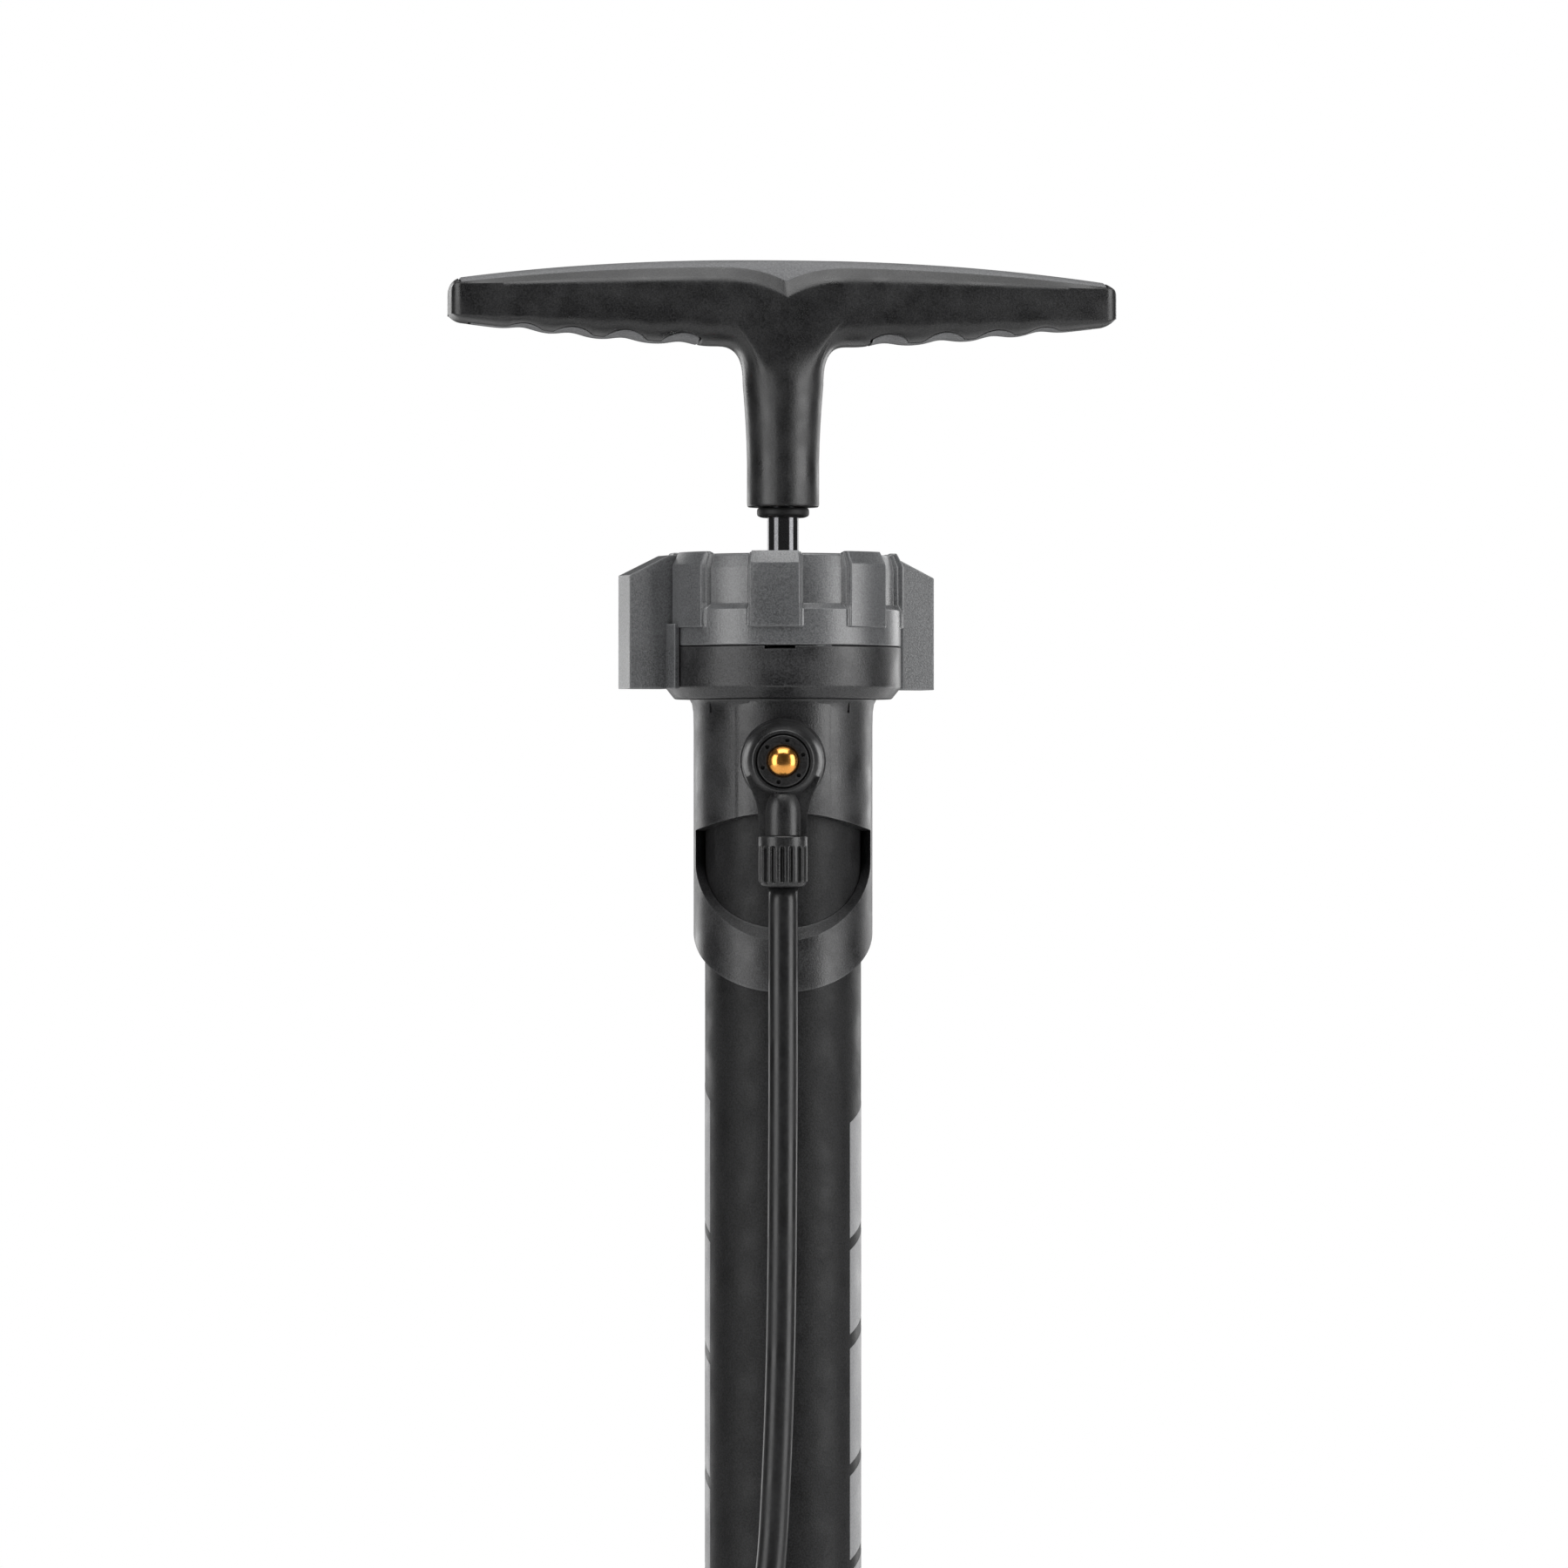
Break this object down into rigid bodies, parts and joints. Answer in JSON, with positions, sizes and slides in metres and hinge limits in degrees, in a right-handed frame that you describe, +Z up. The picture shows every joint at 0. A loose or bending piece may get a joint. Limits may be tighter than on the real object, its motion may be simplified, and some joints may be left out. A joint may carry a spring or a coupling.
{
  "type": "foot air pump",
  "caption": "Tall standing air pump with a T-handle, a top-mounted gauge and mode ring, a pressure chamber barrel, a swivelling hose and a docked valve head.",
  "frame": {"origin": "on the barrel's axis at the floor, under the centre of the base", "axes": "+Z up along the barrel; -Y is the rear, where the hose swivel is; +Y is the front, where the pump head is docked; X runs along the crossbar of the handle and the wings of the base"},
  "size_m": [0.2802, 0.236, 0.7398],
  "materials": {
    "steel": "black powder-coated steel",
    "black_plastic": "fine-grained black moulding",
    "grey_plastic": "fine-grained mid-grey moulding",
    "soft_grip": "grey soft-touch overmould",
    "rubber": "black rubber",
    "barrel_paint": "black satin paint on an aluminium tube",
    "black_chrome": "black chrome plating",
    "aluminium": "machined",
    "brass": "polished",
    "dial_white": "printed in light grey or white",
    "pointer_red": "red moulding",
    "clear_lens": "clear polycarbonate"
  },
  "bodies": {
    "root": {"foot_base": "steel", "base_screw_1": "steel", "base_screw_2": "steel", "base_screw_3": "steel", "check_valve_spring": "steel", "release_spring": "steel", "lever_pin": "steel", "barrel_socket": "black_plastic", "hose_hook": "black_plastic", "upper_casing": "black_plastic", "gauge_housing": "black_plastic", "gauge_case": "black_plastic", "gauge_bezel": "black_plastic", "rod_guide_bush": "black_plastic", "swivel_cap": "black_plastic", "pump_head_body": "black_plastic", "head_dock": "black_plastic", "pump_head_cap": "grey_plastic", "rubber_foot_1": "rubber", "rubber_foot_2": "rubber", "rubber_foot_3": "rubber", "rubber_foot_4": "rubber", "tread_pad_left": "rubber", "tread_pad_right": "rubber", "chamber_seal_ring": "rubber", "cylinder_seal_ring": "rubber", "rod_wiper": "rubber", "swivel_seal": "rubber", "air_hose": "rubber", "valve_gasket": "rubber", "chamber_tube": "barrel_paint", "pump_cylinder": "aluminium", "lower_end_plug": "aluminium", "top_manifold": "aluminium", "hose_ferrule": "aluminium", "valve_retainer": "brass", "bourdon_tube": "brass", "swivel_stud": "brass", "gauge_dial": "dial_white", "gauge_lens": "clear_lens"},
    "plunger": {"piston_wear_ring": "rubber", "piston_seal": "rubber"},
    "handle": {"piston_head": "aluminium", "piston_nut": "steel", "piston_rod": "black_chrome", "bump_washer": "rubber", "handle_core": "black_plastic", "handle_top_pad": "soft_grip", "finger_pad_left": "soft_grip", "finger_pad_right": "soft_grip", "handle_bolt": "steel"},
    "mode_selector": {"mode_ring": "grey_plastic", "selector_disc": "aluminium"},
    "gauge_needle": {"gauge_pointer": "pointer_red"},
    "hose_swivel": {"swivel_banjo": "black_plastic", "hose_nut": "black_plastic"},
    "head_lever": {"lock_lever": "grey_plastic"},
    "head_button": {"release_button": "grey_plastic"},
    "check_valve": {"check_valve_poppet": "rubber"}
  },
  "joints": [
    {"name": "piston_slide", "type": "slide", "parent": "root", "child": "plunger", "axis": [0, 0, 1], "range_m": [0, 0.43]},
    {"name": "handle_turn", "type": "hinge", "parent": "plunger", "child": "handle", "pos_m": [0, 0, 0.6], "axis": [0, 0, 1], "continuous": true},
    {"name": "mode_turn", "type": "hinge", "parent": "root", "child": "mode_selector", "pos_m": [0, 0, 0.6], "axis": [0, 0, 1], "range_deg": [-42, 0]},
    {"name": "needle_turn", "type": "hinge", "parent": "root", "child": "gauge_needle", "pos_m": [0, 0, 0.603], "axis": [0, 0, 1], "range_deg": [-270, 0], "stiffness_Nm_per_rad": 0.002},
    {"name": "hose_swing", "type": "hinge", "parent": "root", "child": "hose_swivel", "pos_m": [0, -0.05, 0.5304], "axis": [0, 1, 0], "range_deg": [-35, 35], "deforming": ["air_hose"]},
    {"name": "lever_swing", "type": "hinge", "parent": "root", "child": "head_lever", "pos_m": [-0.0254, 0.054, 0.517], "axis": [0, 1, 0], "range_deg": [0, 90]},
    {"name": "button_press", "type": "slide", "parent": "root", "child": "head_button", "axis": [0, 0, -1], "range_m": [0, 0.002], "stiffness_N_per_m": 400, "deforming": ["release_spring"]},
    {"name": "valve_open", "type": "slide", "parent": "root", "child": "check_valve", "axis": [0, 0, -1], "range_m": [0, 0.0012], "stiffness_N_per_m": 60, "springref_m": -0.002, "deforming": ["check_valve_spring"]}
  ]
}
